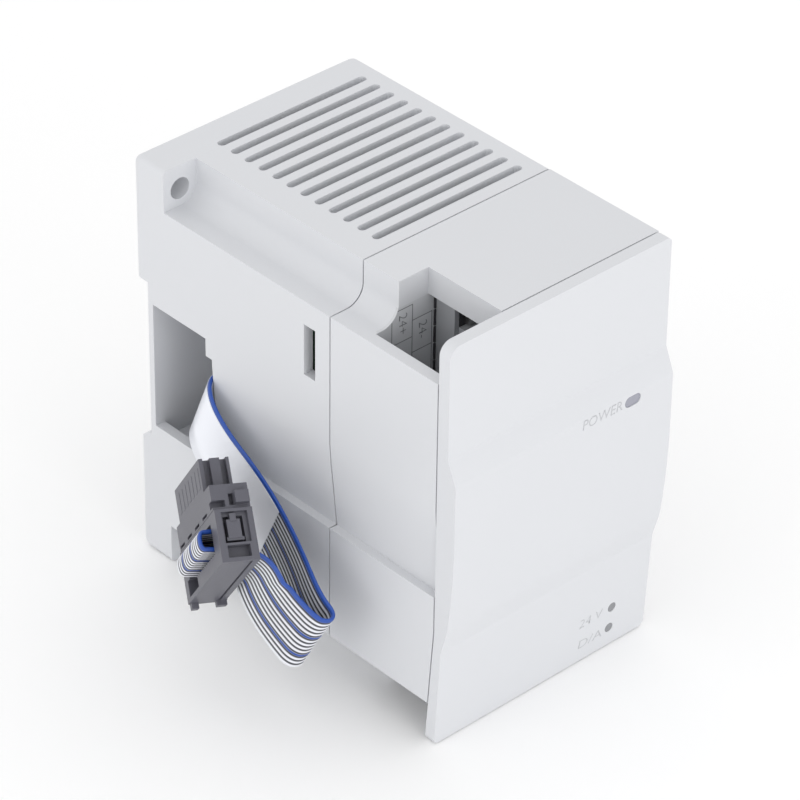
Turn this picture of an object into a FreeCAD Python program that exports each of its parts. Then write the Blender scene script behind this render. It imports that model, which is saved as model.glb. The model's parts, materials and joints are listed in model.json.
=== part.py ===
"""Analogue output extension module for a rail-mounted controller.

The module is a two-shell plastic case with a hinged front cover, a wiring duct,
a terminal strip, three circuit boards and a short ribbon cable with its connector.
Frame: +Z up, the front faces -Y, +X is to the right of someone looking at the front.
The origin is the centre of the case's footprint, on its lower face. Millimetres.
"""
import FreeCAD, Part
import math
import os
import Sketcher

Vector = FreeCAD.Vector
Rotation = FreeCAD.Rotation

DIMENSIONS = {
    "case_width": 55.0,
    "case_height": 90.0,
    "case_depth": 87.0,
    "front_bulge": 2.1,
    "shell_wall": 2.2,
    "shell_seam": 31.4,
    "seam_gap": 0.3,
    "cover_depth": 2.7,
    "cover_gap": 0.3,
    "cover_skin": 1.5,
    "duct_width": 8.0,
    "duct_height": 8.8,
    "duct_radius": 4.0,
    "ear_depth": 9.3,
    "mount_hole_radius": 2.25,
    "mount_hole_pitch": 80.0,
    "rail_width": 35.0,
    "rail_depth": 4.0,
    "rail_low_edge": 28.2,
    "vent_pitch": 3.9,
    "vent_width": 1.8,
    "side_recess": 1.8,
    "board_thickness": 1.6,
    "terminal_pitch": 7.0,
    "screw_radius": 2.6,
    "conductor_pitch": 1.27,
    "conductor_count": 14.0,
    "ribbon_thickness": 0.7,
    "hinge_pin_radius": 0.75,
}

doc = FreeCAD.newDocument("extension_module")
NODES = {}


class Size:
    """A length that knows its number and the spreadsheet expression it comes from."""

    def __init__(self, value, text):
        self.value = float(value)
        self.text = text

    def __add__(self, other):
        return combine(self, "+", other)

    def __radd__(self, other):
        return combine(other, "+", self)

    def __sub__(self, other):
        return combine(self, "-", other)

    def __rsub__(self, other):
        return combine(other, "-", self)

    def __mul__(self, other):
        return combine(self, "*", other)

    def __rmul__(self, other):
        return combine(other, "*", self)

    def __truediv__(self, other):
        return combine(self, "/", other)

    def __neg__(self):
        return combine(0, "-", self)


def as_size(value):
    """Give a plain number the same form as a length from the sheet."""
    if isinstance(value, Size):
        return value
    return Size(value, f"{float(value):.6f}".rstrip("0").rstrip("."))


def combine(left, sign, right):
    """Join two lengths, keeping number and expression in step."""
    left = as_size(left)
    right = as_size(right)
    results = {
        "+": left.value + right.value,
        "-": left.value - right.value,
        "*": left.value * right.value,
        "/": left.value / right.value if right.value else 0.0,
    }
    return Size(results[sign], f"({left.text} {sign} {right.text})")


def make_sheet():
    """Write the driving dimensions into a spreadsheet, one aliased cell each."""
    sheet = doc.addObject("Spreadsheet::Sheet", "Dimensions")
    for row, (alias, value) in enumerate(DIMENSIONS.items(), start=1):
        sheet.set(f"A{row}", alias.replace("_", " "))
        sheet.set(f"B{row}", str(value))
        sheet.setAlias(f"B{row}", alias)
    doc.recompute()


def dim(alias):
    """Read one driving dimension."""
    return Size(DIMENSIONS[alias], f"Dimensions.{alias}")


make_sheet()
WIDTH = dim("case_width")
HEIGHT = dim("case_height")
DEPTH = dim("case_depth")
WALL = dim("shell_wall")
SEAM = dim("shell_seam")
GAP = dim("cover_gap")
DUCT = dim("duct_width")
BOARD = dim("board_thickness")
RAIL_LOW = dim("rail_low_edge")
RAIL_HIGH = RAIL_LOW + dim("rail_width")
RAIL_FLOOR = DEPTH - dim("rail_depth")
DUCT_LOW = dim("duct_height")
DUCT_HIGH = HEIGHT - dim("duct_height")
BAY_BACK = 21.9
SCREW_SEAT = 40.0
PLATE_DEPTHS = (BAY_BACK, BAY_BACK + 0.6)
PLATE_HEIGHTS = (5.8, 84.3)
LABEL_DEPTHS = (58.0, 80.0)
LABEL_HEIGHTS = (34.0, 80.0)
PIN_LINE = (WIDTH - 1.5, 1.2)
SPACER_GAP = 15.4
FIRST_BOARD = 27.0
SECOND_BOARD = FIRST_BOARD + BOARD + SPACER_GAP
THIRD_BOARD = SECOND_BOARD + BOARD + SPACER_GAP
CASE_SCREW_PLACES = (
    ("low_left", 14.5, 6.4),
    ("low_right", 49.0, 6.4),
    ("high_left", 14.5, 83.6),
    ("high_right", 49.0, 83.6),
)
HINGE_LUGS = ((32.0, 38.0), (48.0, 54.0))
AXIS_TURN = {
    "X": Rotation(Vector(0, 1, 0), 90),
    "Y": Rotation(Vector(1, 0, 0), -90),
    "Z": Rotation(),
}


def across(from_left):
    """X of a place given by its distance from the case's left side."""
    return from_left - WIDTH / 2


def into(from_front):
    """Y of a place given by its distance behind the flat front plane."""
    return from_front - (DEPTH - dim("front_bulge")) / 2


def bind(item, prop, size):
    """Tie one property to the sheet."""
    item.setExpression(prop, as_size(size).text)


def bind_place(item, left, front, low):
    """Tie an object's position to the sheet, from module distances."""
    bind(item, "Placement.Base.x", across(as_size(left)))
    bind(item, "Placement.Base.y", into(as_size(front)))
    bind(item, "Placement.Base.z", low)


def keep(label, item):
    """Name a finished sub-part and put it on the list of nodes."""
    item.Label = label
    NODES[label] = item
    return item


def box(name, left, front, low):
    """Box between two distances from the left side, the front plane and the base."""
    item = doc.addObject("Part::Box", name)
    bind(item, "Length", left[1] - as_size(left[0]))
    bind(item, "Width", front[1] - as_size(front[0]))
    bind(item, "Height", low[1] - as_size(low[0]))
    bind_place(item, left[0], front[0], low[0])
    return item


def rod(name, radius, length, start, axis):
    """Cylinder that starts at a place and runs along +X, +Y or +Z."""
    item = doc.addObject("Part::Cylinder", name)
    bind(item, "Radius", radius)
    bind(item, "Height", length)
    item.Placement = FreeCAD.Placement(Vector(), AXIS_TURN[axis])
    bind_place(item, *start)
    return item


def fuse(name, parts):
    """Join solids that overlap."""
    item = doc.addObject("Part::MultiFuse", name)
    item.Shapes = parts
    return item


def group(name, parts):
    """Keep separate solids together as one set."""
    item = doc.addObject("Part::Compound", name)
    item.Links = parts
    return item


def cut(name, base, tools):
    """Take a list of solids away from a base solid."""
    tool = tools[0]
    if len(tools) > 1:
        tool = fuse(f"{name}_tools", tools)
    item = doc.addObject("Part::Cut", name)
    item.Base = base
    item.Tool = tool
    return item


def round_edges(name, base, rules):
    """Round edges: each rule is a radius and a test on an edge's middle and bounds."""
    doc.recompute()
    picked = []
    for number, edge in enumerate(base.Shape.Edges, start=1):
        for radius, wanted in rules:
            if wanted(edge.CenterOfMass, edge.BoundBox):
                picked.append((number, radius, radius))
                break
    if not picked:
        raise RuntimeError(f"{name}: no edge to round")
    item = doc.addObject("Part::Fillet", name)
    item.Base = base
    item.Edges = picked
    return item


def outline(sketch, points, arcs=None):
    """Draw a closed outline whose corners are tied to the sheet.

    arcs gives, for a segment's number, a point that its arc passes through.
    """
    arcs = arcs or {}
    flat = [Vector(as_size(a).value, as_size(b).value, 0) for a, b in points]
    total = len(flat)
    starts = {}
    for index, here in enumerate(flat):
        there = flat[(index + 1) % total]
        if index in arcs:
            middle = Vector(*arcs[index], 0)
            sketch.addGeometry(Part.Arc(here, middle, there))
            turned = (sketch.getPoint(index, 1) - here).Length > 1e-6
            starts[index] = 2 if turned else 1
        else:
            sketch.addGeometry(Part.LineSegment(here, there))
            starts[index] = 1
    for index in range(total):
        after = (index + 1) % total
        end = 3 - starts[index]
        sketch.addConstraint(Sketcher.Constraint("Coincident", index, end, after, starts[after]))
    for index, (first, second) in enumerate(points):
        for kind, axis, value in (("DistanceX", -2, first), ("DistanceY", -1, second)):
            value = as_size(value)
            if abs(value.value) < 1e-9:
                tie = Sketcher.Constraint("PointOnObject", index, starts[index], axis)
                sketch.addConstraint(tie)
                continue
            tie = Sketcher.Constraint(kind, index, starts[index], value.value)
            number = sketch.addConstraint(tie)
            sketch.setExpression(f"Constraints[{number}]", value.text)
    for index in arcs:
        radius = sketch.Geometry[index].Radius
        sketch.addConstraint(Sketcher.Constraint("Radius", index, radius))


def side_prism(name, points, left, arcs=None):
    """Extrude a side outline (distance behind front, height) across the case."""
    sketch = doc.addObject("Sketcher::SketchObject", f"{name}_outline")
    turn = Rotation(Vector(0, 1, 0), Vector(0, 0, 1), Vector(1, 0, 0), "ZXY")
    sketch.Placement = FreeCAD.Placement(Vector(), turn)
    outline(sketch, points, arcs)
    bind_place(sketch, left[0], 0, 0)
    item = doc.addObject("Part::Extrusion", name)
    item.Base = sketch
    item.DirMode = "Normal"
    item.Solid = True
    bind(item, "LengthFwd", left[1] - as_size(left[0]))
    return item


def plate_body(label, points, thickness, plane="XY_Plane"):
    """PartDesign body: one outline on an origin plane, padded."""
    body = doc.addObject("PartDesign::Body", label)
    doc.recompute()
    role = [item for item in body.Origin.OriginFeatures if item.Role == plane][0]
    sketch = body.newObject("Sketcher::SketchObject", f"{label}_sketch")
    sketch.AttachmentSupport = [(role, "")]
    sketch.MapMode = "FlatFace"
    outline(sketch, points)
    pad = body.newObject("PartDesign::Pad", f"{label}_pad")
    pad.Profile = sketch
    bind(pad, "Length", thickness)
    doc.recompute()
    return body


def carve(body, name, low, high):
    """Cut a box out of a body, in the body's own coordinates."""
    hole = body.newObject("PartDesign::SubtractiveBox", name)
    for prop, index in (("Length", 0), ("Width", 1), ("Height", 2)):
        bind(hole, prop, high[index] - as_size(low[index]))
    for prop, index in (("x", 0), ("y", 1), ("z", 2)):
        bind(hole, f"Placement.Base.{prop}", low[index])
    before = body.Shape.Volume
    doc.recompute()
    if body.Shape.Volume >= before:
        raise RuntimeError(f"{name}: nothing was cut")
    return hole


# ---------------------------------------------------------------- case shells


def duct_tool(name, front, top):
    """Concave corner that the wiring duct takes off the case, at the top or base."""
    radius = dim("duct_radius")
    if top:
        shallow = (DUCT_HIGH + radius, HEIGHT + 1)
        deep = (DUCT_HIGH, HEIGHT + 1)
        middle = DUCT_HIGH + radius
    else:
        shallow = (-1, DUCT_LOW - radius)
        deep = (-1, DUCT_LOW)
        middle = DUCT_LOW - radius
    length = front[1] - as_size(front[0])
    return fuse(name, [
        box(f"{name}_wide", (-1, DUCT), front, shallow),
        box(f"{name}_tall", (-1, DUCT - radius), front, deep),
        rod(f"{name}_arc", radius, length, (DUCT - radius, front[0], middle), "Y"),
    ])


def hollow_tool(name, front):
    """Inside of the case, kept clear of both wiring ducts."""
    inner = DUCT + WALL
    return fuse(name, [
        box(f"{name}_main", (inner, WIDTH - WALL), front, (WALL, HEIGHT - WALL)),
        box(f"{name}_side", (WALL, inner + 1), front, (DUCT_LOW + WALL, DUCT_HIGH - WALL)),
    ])


def recess_tool(name, front):
    """Shallow sloping recess along the left side, deepest at its lower ledge."""
    ledge = 34.0
    crease = 53.5
    depth = dim("side_recess")
    sketch = doc.addObject("Sketcher::SketchObject", f"{name}_outline")
    turn = Rotation(Vector(-1, 0, 0), Vector(0, 0, 1), Vector(0, 1, 0), "ZXY")
    sketch.Placement = FreeCAD.Placement(Vector(), turn)
    outline(sketch, [(1, ledge), (-depth, ledge), (-0.35, crease - 5), (0, crease), (1, crease)])
    bind_place(sketch, 0, front[0], 0)
    item = doc.addObject("Part::Extrusion", name)
    item.Base = sketch
    item.DirMode = "Normal"
    item.Solid = True
    bind(item, "LengthFwd", front[1] - as_size(front[0]))
    return item


def vent_tools():
    """Rows of round-ended slots through the roof of the rear case."""
    tools = []
    half = dim("vent_width") / 2
    for index in range(12):
        middle = 35.5 + index * dim("vent_pitch")
        left = (15.0, 50.2)
        slot = (middle - half, middle + half)
        tools.append(box(f"vent_{index}", left, slot, (HEIGHT - WALL - 1, HEIGHT + 1)))
        for side, end in enumerate(left):
            start = (end, middle, HEIGHT - WALL - 1)
            tools.append(rod(f"vent_end_{index}_{side}", half, WALL + 2, start, "Z"))
    return tools


def mount_holes():
    """Two screw holes right through the case's left corner posts."""
    tools = []
    half = dim("mount_hole_pitch") / 2
    for name, height in (("low", HEIGHT / 2 - half), ("high", HEIGHT / 2 + half)):
        start = (DUCT / 2, DEPTH - dim("ear_depth") - 1, height)
        length = dim("ear_depth") + 2
        tools.append(rod(f"mount_hole_{name}", dim("mount_hole_radius"), length, start, "Y"))
    return tools


def rail_tools():
    """Groove for a 35 mm rail with its sloped lower shoulder."""
    return [
        box("rail_groove", (-1, WIDTH + 1), (RAIL_FLOOR, DEPTH + 1), (RAIL_LOW, RAIL_HIGH)),
        side_prism("rail_slope", [
            (RAIL_FLOOR + 0.6, RAIL_LOW),
            (DEPTH + 1, RAIL_LOW - 3.6),
            (DEPTH + 1, RAIL_LOW + 1),
            (RAIL_FLOOR + 0.6, RAIL_LOW + 1),
        ], (-1, WIDTH + 1)),
    ]


def hook_channel():
    """T-shaped channel in the back that the rail hook slides in."""
    middle = WIDTH / 2
    back = (85.7, DEPTH + 1)
    return [
        box("hook_wide", (middle - 9.3, middle + 9.3), (83.9, 86.0), (3.2, RAIL_LOW + 1)),
        box("hook_mouth", (middle - 6.3, middle + 6.3), back, (-1, RAIL_LOW + 1)),
        box("hook_exit", (middle - 6.3, middle + 6.3), (84.9, DEPTH + 1), (-1, 4)),
    ]


def cable_pocket_tools():
    """Pocket for the ribbon behind the window in the left side."""
    return [
        box("pocket_space", (WALL, 16.0), (64.5, 81.6), (27.0, 60.0)),
        box("pocket_window", (-1, WALL + 1), (66.3, 81.6), (30.8, 58.8)),
        box("pocket_step", (-1, WALL + 1), (64.5, 66.4), (30.8, 54.9)),
    ]


def make_rear_case():
    """Rear shell: vents, rail groove, mounting ears, ribbon pocket, side windows."""
    front = SEAM + dim("seam_gap") / 2
    outer = box("rear_block", (0, WIDTH), (front, DEPTH), (0, HEIGHT))
    back = into(DEPTH).value
    outer = round_edges("rear_rounded", outer, [
        (2.2, lambda middle, bounds: bounds.YLength < 1 and middle.y > back - 1),
        (1.1, lambda middle, bounds: bounds.YLength > 1),
    ])
    hollow = cut("rear_hollowed", outer, [
        hollow_tool("rear_space", (SEAM - 1, 81.4)),
        box("rear_top_space", (DUCT + WALL, WIDTH - WALL), (81, 84.8), (66, HEIGHT - WALL)),
    ])
    pocket_walls = box("pocket_walls", (1, 17.2), (63.3, 82.6), (25.8, 61.2))
    bosses = []
    for name, left, height in CASE_SCREW_PLACES:
        start = (left, front, height)
        bosses.append(rod(f"rear_boss_{name}", 4.6, 82.0 - front, start, "Y"))
    shell = fuse("rear_with_pocket", [hollow, pocket_walls] + bosses)
    tools = [duct_tool("rear_duct_high", (SEAM - 1, DEPTH - dim("ear_depth")), True)]
    tools.append(duct_tool("rear_duct_low", (SEAM - 1, DEPTH - dim("ear_depth")), False))
    tools.append(recess_tool("rear_recess", (SEAM - 1, 66.0)))
    tools += vent_tools() + mount_holes() + rail_tools() + hook_channel()
    tools += cable_pocket_tools()
    tools.append(box("side_slot", (-1, WALL + 1), (35.4, 38.5), (65.1, 76.1)))
    tools.append(box("header_window", (WIDTH - 9, WIDTH + 1), (44.0, 55.0), (32.0, 58.0)))
    for name, left, height in CASE_SCREW_PLACES:
        start = (left, front - 1, height)
        tools.append(rod(f"rear_screw_bore_{name}", 1.45, 12, start, "Y"))
        start = (left, SCREW_SEAT, height)
        tools.append(rod(f"rear_head_bore_{name}", 2.8, DEPTH, start, "Y"))
    tools.append(box("label_recess", (WIDTH - 0.25, WIDTH + 1), LABEL_DEPTHS, LABEL_HEIGHTS))
    carved = cut("rear_carved", shell, tools)
    lugs = []
    for index, left in enumerate((10.0, 37.0)):
        lip = (RAIL_HIGH - 2.2, RAIL_HIGH + 0.6)
        lugs.append(box(f"rail_lip_{index}", (left, left + 8), (85.4, DEPTH), lip))
    return keep("rear_case", fuse("rear_case", [carved] + lugs))


def make_front_case():
    """Front shell: terminal bay, wire openings, hinge lugs, board ledges."""
    face = dim("cover_depth") + GAP
    back = SEAM - dim("seam_gap") / 2
    outer = side_prism("front_block", [
        (face, HEIGHT), (face, 26), (face + 2, 0), (back, 0), (back, HEIGHT),
    ], (0, WIDTH))
    right = across(WIDTH).value
    front_edge = into(face + 3).value
    outer = round_edges("front_rounded", outer, [
        (0.8, lambda middle, bounds: bounds.YLength > 20),
        (0.7, lambda middle, bounds: middle.x > right - 0.1 and middle.y < front_edge),
    ])
    space = [
        hollow_tool("front_space", (BAY_BACK + 2, SEAM + 1)),
        box("front_right_space", (35.2, WIDTH - WALL), (6.8, 25), (WALL, HEIGHT - WALL)),
    ]
    hollow = cut("front_hollowed", outer, space)
    lugs = []
    for low, high in HINGE_LUGS:
        lugs.append(rod(f"lug_{low}", 1.45, high - low, (*PIN_LINE, low), "Z"))
        lugs.append(box(f"lug_web_{low}", (WIDTH - 2.9, WIDTH - 0.5), (1.2, 6.0), (low, high)))
    bosses = []
    for name, left, height in CASE_SCREW_PLACES:
        start = (left, BAY_BACK + 1, height)
        bosses.append(rod(f"front_boss_{name}", 4.6, back - BAY_BACK - 1, start, "Y"))
    tongue = cut("front_tongue", hollow_ring(back), [hollow_tool("tongue_space", (20, 40))])
    shell = fuse("front_with_lugs", [hollow, tongue] + lugs + bosses)
    tools = [
        duct_tool("front_duct_high", (BAY_BACK, SEAM + 1), True),
        duct_tool("front_duct_low", (BAY_BACK, SEAM + 1), False),
        duct_tool("front_ledge_high", (face, BAY_BACK + 1), True),
        duct_tool("front_ledge_low", (4, BAY_BACK + 1), False),
        recess_tool("front_recess", (face, SEAM + 1)),
        box("bay_space", (2.5, 33.2), (1, BAY_BACK), (5.8, 84.3)),
        box("bay_top_opening", (2.5, 15.2), (1, BAY_BACK), (70, HEIGHT + 1)),
        box("bay_low_opening", (2.5, 15.2), (1, BAY_BACK), (-1, 12)),
        box("bay_pin_slot", (24.2, 25.8), (BAY_BACK - 1, BAY_BACK + 3), (12, 79)),
        box("plate_recess", (2.9, 16.6), PLATE_DEPTHS, PLATE_HEIGHTS),
        box("display_window", (42.0, 49.0), (0, 8), (2.4, 12.5)),
        box("display_window_high", (41.0, 49.0), (0, 8), (56.0, 63.0)),
    ]
    for name, left, height in CASE_SCREW_PLACES:
        start = (left, BAY_BACK + 3, height)
        tools.append(rod(f"front_screw_bore_{name}", 1.15, 12, start, "Y"))
    for low, high in HINGE_LUGS:
        start = (*PIN_LINE, low - 1)
        bore = dim("hinge_pin_radius") + 0.05
        tools.append(rod(f"lug_bore_{low}", bore, high - low + 2, start, "Z"))
    return keep("front_case", cut("front_case", shell, tools))


def hollow_ring(back):
    """Thin rim behind the front shell that nests inside the rear shell."""
    inner = DUCT + WALL + 0.15
    side = WALL + 0.15
    rim = (back - 1, back + 2.5)
    high = (DUCT_LOW + side, DUCT_HIGH - side)
    ring = fuse("rim_block", [
        box("rim_main", (inner, WIDTH - side), rim, (side, HEIGHT - side)),
        box("rim_side", (side, inner + 1), rim, high),
    ])
    thin = 1.0
    length = (20, 40)
    rise = (side + thin, HEIGHT - side - thin)
    side_rise = (high[0] + thin, high[1] - thin)
    return cut("rim", ring, [
        box("rim_main_space", (inner + thin, WIDTH - side - thin), length, rise),
        box("rim_side_space", (side + thin, inner + 2), length, side_rise),
    ])


# ---------------------------------------------------------------- front cover


def make_front_cover():
    """Hinged cover with its raised middle band, light windows and hinge pockets."""
    bulge = -dim("front_bulge")
    rear = dim("cover_depth")
    plain = side_prism("cover_plain", [
        (0, HEIGHT), (0, 66.2), (bulge, 61.2), (bulge, 50), (-0.7, 28), (0.9, 22.4),
        (2.2, 0), (rear + 2, 0), (rear, 26), (rear, HEIGHT),
    ], (0, WIDTH), {3: (-1.75, 39)})
    side = across(WIDTH).value
    front = into(0).value

    def corner(x_side, z_side):
        """Test for the short edge at one corner of the cover's outline."""
        return lambda middle, bounds: (
            abs(middle.x - x_side) < 0.1 and abs(middle.z - z_side) < 0.1)

    def crease(height):
        """Test for a crease that runs right across the cover's front."""
        return lambda middle, bounds: (
            bounds.XLength > 40 and abs(middle.z - height) < 0.5 and middle.y < front + 1.5)

    def hinge_edge(middle, bounds):
        """Test for the upright edges behind the hinge side."""
        behind = middle.y > front + rear.value - 0.2
        return middle.x > side - 0.1 and behind and bounds.ZLength > 20

    high = DIMENSIONS["case_height"]
    shaped = round_edges("cover_shaped", plain, [
        (2.6, corner(-side, high)),
        (1.2, corner(side, high)),
        (1.2, corner(-side, 0)),
        (1.5, corner(side, 0)),
        (0.8, crease(66.2)),
        (3.0, crease(61.2)),
        (12.0, crease(28)),
        (3.0, crease(22.4)),
        (1.4, hinge_edge),
    ])
    skin = dim("cover_skin")
    tools = [
        box("cover_space_high", (2.4, WIDTH - 4), (skin, 6), (67.5, HEIGHT - 2.4)),
        box("cover_space_middle", (2.4, WIDTH - 4), (bulge + skin + 0.4, 6), (31, 60)),
        box("cover_space_low", (2.4, WIDTH - 4), (4.0, 6), (2.4, 20)),
    ]
    for low, high_end in HINGE_LUGS:
        pocket = (low - 0.3, high_end + 0.3)
        name = f"hinge_pocket_{low}"
        tools.append(box(name, (WIDTH - 3.4, WIDTH + 1), (-0.6, 6), pocket))
        start = (*PIN_LINE, low - 2.5)
        length = high_end - low + 5
        tools.append(rod(f"pin_bore_{low}", dim("hinge_pin_radius"), length, start, "Z"))
    tools += lens_holes()
    return keep("front_cover", cut("front_cover", shaped, tools))


POWER_WINDOW = (44.6, 59.7)
ROUND_WINDOWS = (("supply", 45.6, 9.2), ("output", 45.3, 4.3))


def lens_holes():
    """Bores right through the cover for the three light windows."""
    left, height = POWER_WINDOW
    radius = 1.15
    through = (-4, 5)
    bars = [box("power_hole_bar", (left - 0.9, left + 0.9), through,
                (height - radius, height + radius))]
    for shift, name in ((-0.9, "left"), (0.9, "right")):
        bars.append(rod(f"power_hole_{name}", radius, 9, (left + shift, -4, height), "Y"))
    for name, place, level in ROUND_WINDOWS:
        bars.append(rod(f"{name}_hole", 1.05, 9, (place, -4, level), "Y"))
    return bars


def make_lenses():
    """Light windows that sit in the cover, a little behind its surface."""
    left, height = POWER_WINDOW
    sides = ((-0.9, "left"), (0.9, "right"))
    radius = 1.15
    parts = [box("power_lens_bar", (left - 0.9, left + 0.9), (-1.9, 0.2),
                 (height - radius, height + radius))]
    for shift, name in sides:
        parts.append(rod(f"power_lens_{name}", radius, 2.1, (left + shift, -1.9, height), "Y"))
    keep("power_lens", fuse("power_lens", parts))
    for (name, place, level), front in zip(ROUND_WINDOWS, (1.85, 2.12)):
        keep(f"{name}_lens", rod(f"{name}_lens", 1.05, 2.1, (place, front, level), "Y"))


def make_hinge_pins():
    """Two short pins, pressed into the cover and turning in the case's lugs."""
    pins = []
    for low, high in HINGE_LUGS:
        start = (*PIN_LINE, low - 2.5)
        pins.append(rod(f"pin_{low}", dim("hinge_pin_radius"), high - low + 5, start, "Z"))
    keep("cover_hinge_pins", group("cover_hinge_pins", pins))


# ---------------------------------------------------------------- rail hook


def make_rail_hook():
    """Sliding hook that holds the module on its rail, and its two springs."""
    middle = WIDTH / 2
    parts = [
        box("hook_plate", (middle - 9, middle + 9), (84.2, 85.5), (12, RAIL_LOW - 0.4)),
        box("hook_boss", (middle - 6, middle + 6), (85.4, 86.7), (0.8, RAIL_LOW + 2.4)),
        box("hook_foot", (middle - 6, middle + 6), (85.4, 86.7), (0.8, 3.6)),
    ]
    body = fuse("hook_solid", parts)
    tip = side_prism("hook_tip_slope", [
        (87.5, RAIL_LOW + 0.4), (87.5, RAIL_LOW + 3), (86.0, RAIL_LOW + 3),
    ], (middle - 7, middle + 7))
    slot = box("hook_slot", (middle - 2.5, middle + 2.5), (84, 88), (1.8, 4.2))
    keep("rail_hook", cut("rail_hook", body, [tip, slot]))
    bars = []
    for side, left in (("left", middle - 8.6), ("right", middle + 3.2)):
        bars += spring_bars(side, left)
    keep("rail_hook_springs", group("rail_hook_springs", bars))


def spring_bars(side, left):
    """One serpentine spring: level bars joined at alternate ends."""
    parts = []
    step = 1.95
    for level in range(5):
        low = 3.4 + level * step
        bar = (low, low + 0.55)
        parts.append(box(f"spring_{side}_{level}", (left, left + 5.4), (84.3, 85.3), bar))
        if level < 4:
            end = left if level % 2 else left + 4.8
            link = (low, low + step + 0.5)
            parts.append(box(f"link_{side}_{level}", (end, end + 0.6), (84.3, 85.3), link))
    return [fuse(f"spring_{side}", parts)]


# ---------------------------------------------------------------- terminals

TERMINAL_COUNT = 11
TERMINAL_LOW = 7.7


def terminal_level(index):
    """Height of a terminal's centre line."""
    return TERMINAL_LOW + (index + 0.5) * dim("terminal_pitch")


def make_terminals():
    """Upright terminal strip: moulding, screws, clamp plates, tails, marking plate."""
    parts = [box("strip_base", (17, 32), (16.8, BAY_BACK), (5.9, 84.2))]
    for index in range(TERMINAL_COUNT):
        level = TERMINAL_LOW + index * dim("terminal_pitch")
        wall = (level - 0.6, level + 0.6)
        parts.append(box(f"barrier_{index}", (18, 32), (9.0, 17.5), wall))
    bores = []
    plates = []
    screws = []
    tails = []
    for index in range(TERMINAL_COUNT):
        level = terminal_level(index)
        bores.append(rod(f"strip_bore_{index}", 1.5, 6, (24, 14.8, level), "Y"))
        plate = box(f"clamp_{index}", (19.5, 29.5), (15.6, 16.8), (level - 2.6, level + 2.6))
        hole = rod(f"clamp_hole_{index}", 1.6, 4, (24, 14.5, level), "Y")
        plates.append(cut(f"clamp_cut_{index}", plate, [hole]))
        screws.append(terminal_screw(index, level))
    for index in range(1, TERMINAL_COUNT - 1):
        level = terminal_level(index)
        tail = (level - 0.45, level + 0.45)
        tails.append(box(f"tail_{index}", (24.6, 25.5), (BAY_BACK, FIRST_BOARD), tail))
    keep("terminal_strip", cut("terminal_strip", fuse("strip_solid", parts), bores))
    keep("terminal_clamps", group("terminal_clamps", plates))
    keep("terminal_screws", group("terminal_screws", screws))
    keep("terminal_tails", group("terminal_tails", tails))
    plate = box("plate_block", (2.9, 16.6), PLATE_DEPTHS, PLATE_HEIGHTS)
    corners = [duct_tool("plate_high", (20, 24), True), duct_tool("plate_low", (20, 24), False)]
    keep("marking_plate", cut("marking_plate", plate, corners))


def terminal_screw(index, level):
    """Pan-head screw with a cross recess."""
    head = rod(f"screw_head_{index}", dim("screw_radius"), 2.1, (24, 13.5, level), "Y")
    shank = rod(f"screw_shank_{index}", 1.4, 5.0, (24, 15.2, level), "Y")
    solid = fuse(f"screw_solid_{index}", [head, shank])
    wide = box(f"screw_slot_{index}", (22.2, 25.8), (13, 14.4), (level - 0.35, level + 0.35))
    tall = box(f"screw_cross_{index}", (23.65, 24.35), (13, 14.4), (level - 1.8, level + 1.8))
    return cut(f"screw_{index}", solid, [wide, tall])


# ---------------------------------------------------------------- boards


def make_board(label, front):
    """Circuit board as a padded outline with four drilled holes."""
    left = across(as_size(4.0))
    right = across(as_size(51.5))
    corners = [(left, 12), (right, 12), (right, 78), (left, 78)]
    body = plate_body(label, [(a, b) for a, b in corners], BOARD, "XZ_Plane")
    bind(body, "Placement.Base.y", into(as_size(front)) + BOARD)
    for index, (side, level) in enumerate(SPACER_PLACES):
        hole = body.newObject("PartDesign::SubtractiveCylinder", f"{label}_hole_{index}")
        hole.Placement = FreeCAD.Placement(Vector(), AXIS_TURN["Y"])
        bind(hole, "Radius", 1.5)
        bind(hole, "Height", BOARD + 4)
        bind(hole, "Placement.Base.x", across(as_size(side)))
        bind(hole, "Placement.Base.y", -BOARD - 2)
        bind(hole, "Placement.Base.z", level)
    return keep(label, body)


SPACER_PLACES = ((8.0, 17.0), (47.5, 17.0), (8.0, 73.0), (47.5, 73.0))


def make_boards():
    """Three stacked boards with spacers, screws and link connectors between them."""
    make_board("terminal_board", FIRST_BOARD)
    make_board("main_board", SECOND_BOARD)
    make_board("power_board", THIRD_BOARD)
    spacers = []
    screws = []
    for index, (side, level) in enumerate(SPACER_PLACES):
        for layer, front in (("a", FIRST_BOARD + BOARD), ("b", SECOND_BOARD + BOARD)):
            name = f"spacer_{layer}_{index}"
            spacers.append(rod(name, 2.4, SPACER_GAP, (side, front, level), "Y"))
        head = rod(f"board_head_{index}", 2.3, 1.4, (side, FIRST_BOARD - 1.4, level), "Y")
        shank = rod(f"board_shank_{index}", 1.4, BOARD + 0.2, (side, FIRST_BOARD - 0.2, level), "Y")
        screws.append(fuse(f"board_screw_{index}", [head, shank]))
    keep("board_spacers", group("board_spacers", spacers))
    keep("board_screws", group("board_screws", screws))
    links = []
    for name, front in (("first", FIRST_BOARD + BOARD), ("second", SECOND_BOARD + BOARD)):
        gap = (front, front + SPACER_GAP)
        links.append(box(f"link_{name}", (16, 41), gap, (13, 18)))
    keep("board_link_connectors", group("board_link_connectors", links))


def packages(label, size, front, places):
    """Set of equal component bodies standing on a board's rear side."""
    solids = []
    for index, (side, level) in enumerate(places):
        span = (side - size[0] / 2, side + size[0] / 2)
        rise = (level - size[2] / 2, level + size[2] / 2)
        name = f"{label}_{index}"
        solids.append(box(name, span, (front, front + size[1]), rise))
    keep(label, group(label, solids) if len(solids) > 1 else solids[0])


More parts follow.
